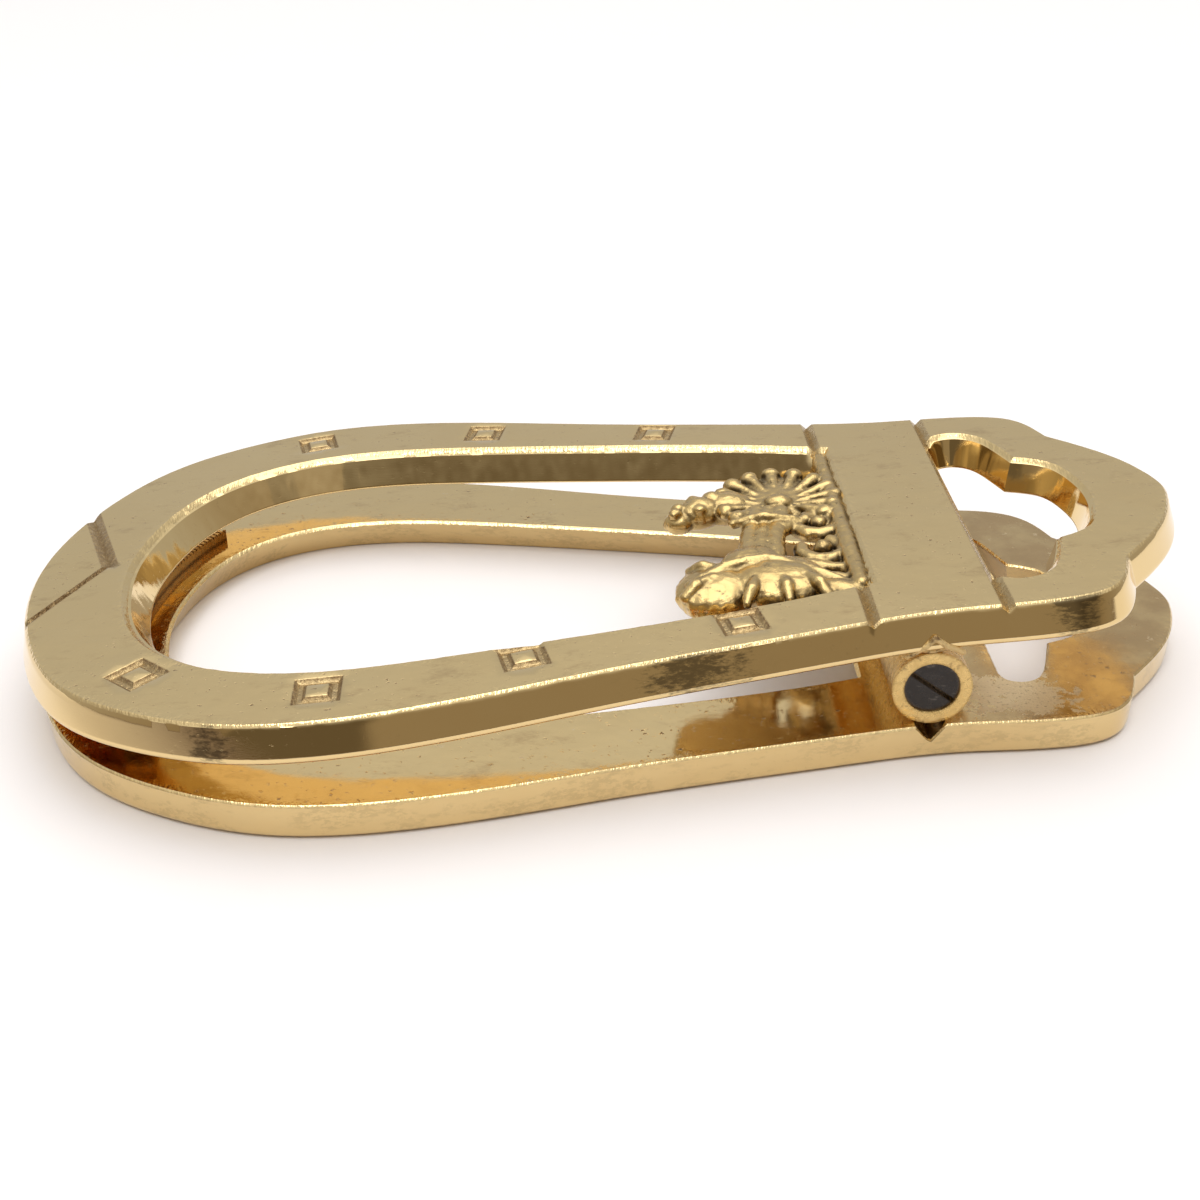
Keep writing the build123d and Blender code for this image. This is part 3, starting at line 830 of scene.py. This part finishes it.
class Shader(NodeTree):
    """The node tree of one material, in millimetre object coordinates."""

    def __init__(self, name):
        self.material = bpy.data.materials.new(name)
        self.material.use_nodes = True
        super().__init__(self.material.node_tree)
        self.surface = self.nodes["Principled BSDF"]
        coordinates = self.add("TexCoord", {})
        self.place = self.vector(coordinates.outputs["Object"], (1000, 1000, 1000))

    def vector(self, source, scale, turn=0.0):
        inputs = {"Vector": source, "Scale": scale, "Rotation": (0, 0, turn)}
        return self.add("Mapping", inputs).outputs["Vector"]

    def noise(self, scale, detail=3.0, rough=0.5, stretch=(1, 1, 1), turn=0.0):
        place = self.vector(self.place, stretch, turn)
        inputs = {"Vector": place, "Scale": scale, "Detail": detail, "Roughness": rough}
        return self.add("TexNoise", inputs).outputs["Fac"]

    def spots(self, scale, size, share, stretch=(1, 1, 1)):
        """Scattered round specks: 1 at their middles, 0 between them."""
        warp = self.add("TexNoise", {"Vector": self.place, "Scale": 9.0})
        shifted = self.nodes.new("ShaderNodeVectorMath")
        shifted.operation = "MULTIPLY_ADD"
        for socket, value in zip(shifted.inputs, (warp.outputs["Color"], (0.35,) * 3, self.place)):
            self.feed(socket, value)
        place = self.vector(shifted.outputs[0], stretch)
        cells = self.add("TexVoronoi", {"Vector": place, "Scale": scale})
        near = self.range(cells.outputs["Distance"], size, size * 0.4, 0, 1)
        split = self.add("SeparateColor", {"Color": cells.outputs["Color"]})
        chosen = self.range(split.outputs[0], 1 - share, 1 - share + 0.1, 0, 1)
        return self.times(near, chosen)

    def mask(self, name):
        node = self.add("Attribute", {})
        node.attribute_name = name
        return node.outputs["Fac"]

    def sheltered(self, distance, open_at, closed_at, most):
        """How hemmed in a point is by what lies within a distance: 0 in the open, most in hollows."""
        node = self.add("AmbientOcclusion", {"Distance": distance})
        node.samples = 8
        return self.range(node.outputs["AO"], open_at, closed_at, 0, most)

    def bump(self, height, strength, distance, normal=None):
        inputs = {"Height": height, "Strength": strength, "Distance": distance}
        if normal is not None:
            inputs["Normal"] = normal
        return self.add("Bump", inputs).outputs["Normal"]

    def soft_edges(self, radius):
        return self.add("Bevel", {"Radius": radius}).outputs["Normal"]

    def finish(self, colour, roughness, normal, metallic=1.0):
        inputs = {"Base Color": colour, "Metallic": metallic, "Roughness": roughness, "Normal": normal}
        for name, value in inputs.items():
            self.feed(self.surface.inputs[name], value)
        return self.material


GOLD = (0.765, 0.57, 0.275)
PALE_GOLD = (0.80, 0.62, 0.32)
BROWN_GOLD = (0.34, 0.20, 0.09)
PIT_BROWN = (0.27, 0.17, 0.08)
# Dark brown: patina in the plate's cuts, and painted shade between the jaw's teeth.
PATINA_AND_SHADE_BROWN = (0.15, 0.08, 0.034)
# Near-black brown: grime on the cast and on the lower plate's walls, and the painted dark reflections on
# the upper plate's near wall.
BLACK_GRIME_AND_REFLECTION = (0.05, 0.04, 0.03)
CRUST_POWDER = (0.74, 0.61, 0.40)
CRUST_CRUMBS = (0.30, 0.20, 0.10)


def plate_pits(shader, on_face):
    """Small brown pits of two sizes, closer together in some places than in others."""
    pits = shader.spots(1.7, 0.17, 0.6, (0.7, 1, 1))
    fine_pits = shader.spots(4.0, 0.24, 0.4, (0.7, 1, 1))
    where = shader.range(shader.noise(0.22, 3.0), 0.40, 0.62, 0.25, 1.0)
    return shader.times(shader.times(shader.larger(pits, fine_pits), where), on_face)


def near_wall_painted_reflections(shader, side):
    """Painted dark reflections: ragged black blots on the near wall, inside the reflection mask."""
    reach = shader.mask("dark_reflection")
    fine, coarse = shader.noise(4.5, 5.0, 0.75, (0.5, 1, 1.6)), shader.noise(1.1, 3.0, 0.6, (0.4, 1, 1))
    blots = shader.plus(shader.plus(fine, coarse), shader.times(reach, 0.34))
    reflections = shader.times(shader.range(blots, 1.16, 1.44, 0, 1), shader.range(reach, 0.1, 0.6, 0, 1))
    return shader.times(reflections, shader.range(side, 0.9, 1.0, 0, 0.66))


def wall_grit(shader, side):
    """A faint, broken film of dirt on the walls."""
    grit = shader.range(shader.noise(4.5, 5.0, 0.75, (0.5, 1, 1)), 0.44, 0.56, 0, 1)
    band = shader.range(shader.noise(0.9, 3.0, 0.6, (0.3, 1, 1)), 0.46, 0.58, 0, 1)
    return shader.times(shader.times(band, grit), shader.range(side, 0.5, 1.0, 0, 0.15))


def plate_skin(shader, side, cut, pits):
    """The plate's normal: scratches, slow waves, sunk pits, rough cuts, burrs and file marks."""
    brushed = shader.noise(1.0, 3.0, 0.6, (0.5, 26, 26), 0.25)
    crossed = shader.noise(1.0, 2.0, 0.6, (22, 0.7, 22), 0.5)
    normal = shader.bump(shader.plus(brushed, shader.times(crossed, 0.5)), 0.02, 0.00006)
    waves = shader.range(side, 0.0, 1.0, 0.05, 0.015)
    normal = shader.bump(shader.noise(0.55, 2.0), waves, 0.0004, normal)
    normal = shader.bump(shader.times(pits, -1.0), 0.25, 0.00006, normal)
    normal = shader.bump(shader.noise(3.4, 4.0, 0.65), shader.times(cut, 0.8), 0.00018, normal)
    burr = shader.times(shader.mask("edge"), 0.42)
    normal = shader.bump(shader.noise(1.0, 3.0, 0.6, (6, 2.5, 0.6)), burr, 0.00010, normal)
    filed = shader.times(shader.mask("sawn"), 0.12)
    return shader.bump(shader.noise(1.0, 1.0, 0.4, (1.3, 1.3, 0.05)), filed, 0.0003, normal)


def plate_gold(name, tarnished):
    """Polished gold with pits, haze and dirty cut marks; the tarnished plate also has veil and crust."""
    shader = Shader(name)
    side, cut = shader.mask("side"), shader.mask("patina")
    on_face = shader.range(side, 0.2, 0.8, 1.0, 0.12)
    pits = plate_pits(shader, on_face)
    haze = shader.range(shader.noise(0.7, 6.0, 0.75, (0.6, 1, 1)), 0.52, 0.75, 0, 0.35)
    haze = shader.times(haze, on_face)
    if tarnished:
        veil = shader.range(shader.noise(0.35, 5.0, 0.6), 0.35, 0.62, 0.45, 1.0)
        veil = shader.times(shader.mask("tarnish"), veil)
        haze = shader.larger(haze, shader.times(shader.times(veil, on_face), 0.6))
    ragged = shader.range(shader.noise(4.0, 5.0, 0.7), 0.3, 0.6, 0.62, 1.0)
    dirt = shader.times(cut, ragged)
    # On the lower plate this is a film of grit; on the upper plate it is painted dark reflection on the
    # near wall.
    grime = wall_grit(shader, side) if tarnished else near_wall_painted_reflections(shader, side)
    colour = shader.mix(shader.noise(0.25, 4.0, 0.6), GOLD, PALE_GOLD)
    colour = shader.mix(haze, colour, BROWN_GOLD)
    colour = shader.mix(pits, colour, PIT_BROWN)
    colour = shader.mix(grime, colour, BLACK_GRIME_AND_REFLECTION)
    if tarnished:
        broken = shader.range(shader.noise(1.3, 5.0, 0.7), 0.3, 0.7, -0.55, 0.55)
        crust = shader.range(shader.plus(shader.mask("crust"), broken), 0.45, 0.62, 0, 1)
        crust = shader.times(crust, on_face)
        crumbs = shader.range(shader.noise(5.0, 4.0, 0.7), 0.56, 0.64, 0, 0.7)
        powder = shader.mix(crumbs, CRUST_POWDER, CRUST_CRUMBS)
        colour = shader.mix(shader.times(crust, 0.85), colour, powder)
    colour = shader.mix(shader.times(dirt, 0.92), colour, PATINA_AND_SHADE_BROWN)
    grain = shader.range(shader.noise(0.8, 5.0, 0.65), 0.3, 0.7, 0.05, 0.11)
    rough = shader.times(grain, shader.range(side, 0.2, 0.8, 1.0, 0.5))
    rough = shader.plus(rough, shader.times(dirt, 0.42))
    rough = shader.plus(rough, shader.times(pits, 0.3))
    normal = plate_skin(shader, side, cut, pits)
    if tarnished:
        rough = shader.plus(rough, shader.times(veil, 0.12))
        rough = shader.plus(rough, shader.times(crust, 0.28))
        normal = shader.bump(shader.noise(5.0, 5.0, 0.7), shader.times(crust, 0.5), 0.00008, normal)
    return shader.finish(colour, rough, normal)


def cast_gold():
    """Cast gold with a chased, uneven skin: bright on the high points, dirty in the hollows."""
    shader = Shader("chased_gold")
    deep = shader.sheltered(0.0009, 0.96, 0.6, 1)
    pointiness = shader.add("NewGeometry", {}).outputs["Pointiness"]
    hollow = shader.range(pointiness, 0.505, 0.46, 0, 1)
    blotch = shader.range(shader.noise(1.5, 6.0, 0.75), 0.56, 0.66, 0, 0.8)
    broken = shader.range(shader.noise(4.0, 4.0, 0.6), 0.3, 0.6, 0.4, 1)
    dirt = shader.larger(shader.larger(deep, blotch), shader.times(hollow, 0.7))
    dirt = shader.times(shader.times(dirt, broken), 0.9)
    colour = shader.mix(shader.noise(0.9, 3.0), (0.70, 0.51, 0.225), (0.52, 0.365, 0.15))
    colour = shader.mix(dirt, colour, BLACK_GRIME_AND_REFLECTION)
    rough = shader.range(shader.noise(3.0, 4.0), 0.3, 0.7, 0.12, 0.24)
    rough = shader.plus(rough, shader.times(dirt, 0.3))
    normal = shader.bump(shader.noise(2.6, 6.0, 0.65), 0.34, 0.00012)
    return shader.finish(colour, rough, normal)


def knuckle_gold():
    """Sawn and filed tube: bright, softly rounded edges with pits and stains."""
    shader = Shader("filed_gold_tube")
    stain = shader.range(shader.noise(1.7, 6.0, 0.75), 0.55, 0.68, 0, 0.6)
    colour = shader.mix(shader.noise(0.8, 3.0), (0.70, 0.48, 0.18), (0.78, 0.57, 0.25))
    colour = shader.mix(stain, colour, PIT_BROWN)
    rough = shader.range(shader.noise(2.0, 4.0), 0.3, 0.7, 0.2, 0.36)
    normal = shader.soft_edges(0.0002)
    normal = shader.bump(shader.noise(3.2, 5.0, 0.65), 0.7, 0.00012, normal)
    return shader.finish(colour, rough, normal)


def shaded_jaw_gold():
    """The serrated strip: dark brown gold as painted shade on its face, and more painted shade between the
    teeth, which leaves the tips lighter.
    """
    shader = Shader("serrated_jaw_shaded_gold")
    shaded_notches = shader.sheltered(0.0003, 0.95, 0.6, 0.9)
    # Painted shade: the strip's darker brown gold, and the dark brown in the notches between the teeth.
    colour = shader.mix(shader.noise(0.9, 4.0, 0.6), (0.62, 0.43, 0.20), (0.44, 0.28, 0.13))
    colour = shader.mix(shaded_notches, colour, PATINA_AND_SHADE_BROWN)
    rough = shader.range(shader.noise(2.0, 4.0), 0.3, 0.7, 0.12, 0.26)
    normal = shader.bump(shader.noise(1.0, 3.0, 0.6, (6, 6, 0.6)), 0.12, 0.00006)
    return shader.finish(colour, rough, normal)


def solder():
    """Lumpy gold solder with brown tarnish."""
    shader = Shader("tarnished_solder")
    tarnish = shader.range(shader.noise(1.6, 5.0, 0.7), 0.50, 0.68, 0, 1)
    colour = shader.mix(tarnish, GOLD, (0.24, 0.155, 0.075))
    rough = shader.range(shader.noise(2.0, 4.0), 0.3, 0.7, 0.25, 0.5)
    normal = shader.bump(shader.noise(2.4, 6.0, 0.7), 0.9, 0.0002)
    return shader.finish(colour, rough, normal)


def blackened_steel():
    """Dark plugs with scuffed faces and dust in their slots."""
    shader = Shader("blackened_steel")
    scuff = shader.range(shader.noise(1.2, 5.0, 0.65, (1, 1, 4), 0.4), 0.56, 0.7, 0, 0.7)
    colour = shader.mix(scuff, (0.034, 0.029, 0.026), (0.12, 0.105, 0.09))
    colour = shader.mix(shader.sheltered(0.0004, 0.75, 0.45, 0.85), colour, (0.21, 0.15, 0.09))
    rough = shader.range(shader.noise(3.0, 3.0), 0.3, 0.7, 0.22, 0.4)
    normal = shader.soft_edges(0.00005)
    normal = shader.bump(shader.noise(4.0, 4.0), 0.25, 0.00004, normal)
    return shader.finish(colour, rough, normal, 0.6)


def spring_steel():
    shader = Shader("spring_steel")
    colour = shader.mix(shader.noise(1.5, 4.0), (0.42, 0.42, 0.44), (0.27, 0.26, 0.26))
    rough = shader.range(shader.noise(5.0, 3.0), 0.3, 0.7, 0.2, 0.35)
    normal = shader.bump(shader.noise(1.0, 3.0, 0.6, (20, 2, 20)), 0.2, 0.00004)
    return shader.finish(colour, rough, normal)


def wear(piece, material):
    """Give a piece its one material."""
    piece.data.materials.clear()
    piece.data.materials.append(material)


# ---- Stage: floor, room, lights and camera
# The sheet's reach from the clip's middle, in metres.
SHEET_IN_FRONT = 0.1
SHEET_BEHIND = 1.2
SHEET_HALF_WIDTH = 1.2


def floor():
    """A white sheet with painted shade in front of the view and at its front left, where the clip mirrors
    it.
    """
    mesh = bpy.data.meshes.new("floor")
    side, front, back = SHEET_HALF_WIDTH, -SHEET_IN_FRONT, SHEET_BEHIND
    corners = [(-side, front, 0), (side, front, 0), (side, back, 0), (-side, back, 0)]
    mesh.from_pydata(corners, [], [(0, 1, 2, 3)])
    piece = added("floor", mesh)
    shader = Shader("white_sheet")
    colour = shader.mix(shader.noise(0.02, 3.0), (0.94, 0.91, 0.908), (0.93, 0.90, 0.90))
    split = shader.add("SeparateXYZ", {"Vector": shader.place})
    # Painted shade: the sheet turns dark brown-grey out of view in front and at the front left, which the
    # clip's walls mirror.
    shade_beyond_view = shader.range(split.outputs["Y"], -40.0, -62.0, 0, 1)
    front_left_shade = shader.range(split.outputs["Y"], 20.0, -66.0, 0, 1)
    front_left_shade = shader.times(front_left_shade, shader.range(split.outputs["X"], -34.0, -43.0, 0, 1))
    colour = shader.mix(shader.larger(shade_beyond_view, front_left_shade), colour, (0.16, 0.12, 0.105))
    rough = shader.range(shader.noise(0.5, 4.0), 0.3, 0.7, 0.55, 0.65)
    normal = shader.bump(shader.noise(0.8, 4.0), 0.05, 0.0002)
    piece.data.materials.append(shader.finish(colour, rough, normal, 0.0))


# How bright the room is at eye level, by azimuth in degrees: 0 is the front, -90 the left.
ROOM = [
    (-180, 0.57), (-130, 0.56), (-92, 0.48), (-60, 0.34), (-36, 0.26), (-33, 0.155), (3.5, 0.15),
    (5, 0.34), (31, 0.33), (36, 0.19), (49, 0.20), (54, 0.30), (95, 0.42), (130, 0.52), (180, 0.57),
]
CEILING = (1.0, 0.99, 0.98)


def room():
    """A room that is bright behind and overhead, and dim and brown towards the viewer."""
    world = bpy.data.worlds.new("room")
    bpy.context.scene.world = world
    world.use_nodes = True
    tree = NodeTree(world.node_tree)
    coordinates = tree.add("TexCoord", {})
    split = tree.add("SeparateXYZ", {"Vector": coordinates.outputs["Generated"]})
    azimuth = tree.maths("ARCTAN2", split.outputs["X"], tree.times(split.outputs["Y"], -1.0))
    turn = tree.plus(tree.maths("DIVIDE", azimuth, 2 * math.pi), 0.5)
    ring = tree.add("ValToRGB", {"Fac": turn})
    stops = ring.color_ramp.elements
    while len(stops) < len(ROOM):
        stops.new(1.0)
    for stop, (degrees, level) in zip(stops, ROOM):
        stop.position = degrees / 360 + 0.5
        warmth = max(0.0, min(1.0, (0.55 - level) / 0.25))
        stop.color = (level, level * (1 - 0.20 * warmth), level * (1 - 0.45 * warmth), 1)
    above = tree.range(split.outputs["Z"], 0.35, 0.85, 0, 1)
    colour = tree.mix(above, ring.outputs["Color"], CEILING)
    tree.feed(tree.nodes["Background"].inputs["Color"], colour)


def area_light(name, place, width, depth, power):
    """An oval lamp, in metres and watts, that faces the clip's middle."""
    data = bpy.data.lights.new(name, "AREA")
    data.shape = "ELLIPSE"
    data.size = width
    data.size_y = depth
    data.energy = power
    lamp = added(name, data)
    lamp.location = place
    lamp.rotation_euler = (-Vector(place)).to_track_quat("-Z", "Y").to_euler()


# The camera's place from the hinge axis at floor level, in millimetres, and the way that it faces.
EYE = (-15.8, -75.94, 42.44)
VIEW_FORWARD = (0.0091, 0.8852, -0.4650)
VIEW_RIGHT = (0.9997, -0.0176, -0.0139)


def camera():
    """Close in front of the clip's middle, looking down at it."""
    data = bpy.data.cameras.new("camera")
    data.lens = 49.5
    data.sensor_width = 36
    data.clip_start = 0.001
    data.clip_end = 20
    forward = Vector(VIEW_FORWARD).normalized()
    right = Vector(VIEW_RIGHT).normalized()
    up = right.cross(forward).normalized()
    right = forward.cross(up)
    view = added("camera", data)
    place = Vector((hinge.x, hinge.y, 0)) + Vector(EYE) * MM
    axes = Matrix((right, up, -forward)).transposed().to_4x4()
    view.matrix_world = Matrix.Translation(place) @ axes
    bpy.context.scene.camera = view


# ---- Build
camera()
floor()
room()
area_light("softbox", (0.05, 0.10, 0.7), 0.8, 0.8, 2.3)
# A bar lamp over the viewer's head, which the worn front edges pick up as a line of sparkles.
area_light("front_lamp", (-0.07, -0.26, 0.53), 0.34, 0.12, 0.42)

plate_metal = plate_gold("polished_gold_plate", False)
wear(upper_plate(), plate_metal)
wear(lower_plate(), plate_gold("tarnished_gold_plate", True))
ornament_metal = cast_gold()
wear(ornament(), ornament_metal)
tube_metal, seam_metal = knuckle_gold(), solder()
plug_metal, wire_metal = blackened_steel(), spring_steel()
wear(near_seam(), seam_metal)
wear(spring(), wire_metal)
WORN_BY = {
    "upper_plate": plate_metal, "lower_plate": plate_metal, "crossbar_ornament": ornament_metal,
    "serrated_jaw": shaded_jaw_gold(), "near_knuckle": tube_metal, "far_knuckle": tube_metal,
    "centre_knuckle": tube_metal, "near_solder_seam": seam_metal, "far_solder_seam": seam_metal,
    "centre_solder_seam": seam_metal, "near_tension_plug": plug_metal, "far_end_plug": plug_metal,
    "hinge_pin": wire_metal, "spring_anchor_pin": wire_metal, "torsion_spring": wire_metal,
}
for node, metal in WORN_BY.items():
    wear(frame["nodes"][node], metal)

# Light is passed to and fro many times in the narrow gap between the two polished plates.
bpy.context.scene.cycles.glossy_bounces = 12
bpy.context.scene.view_settings.view_transform = "Standard"
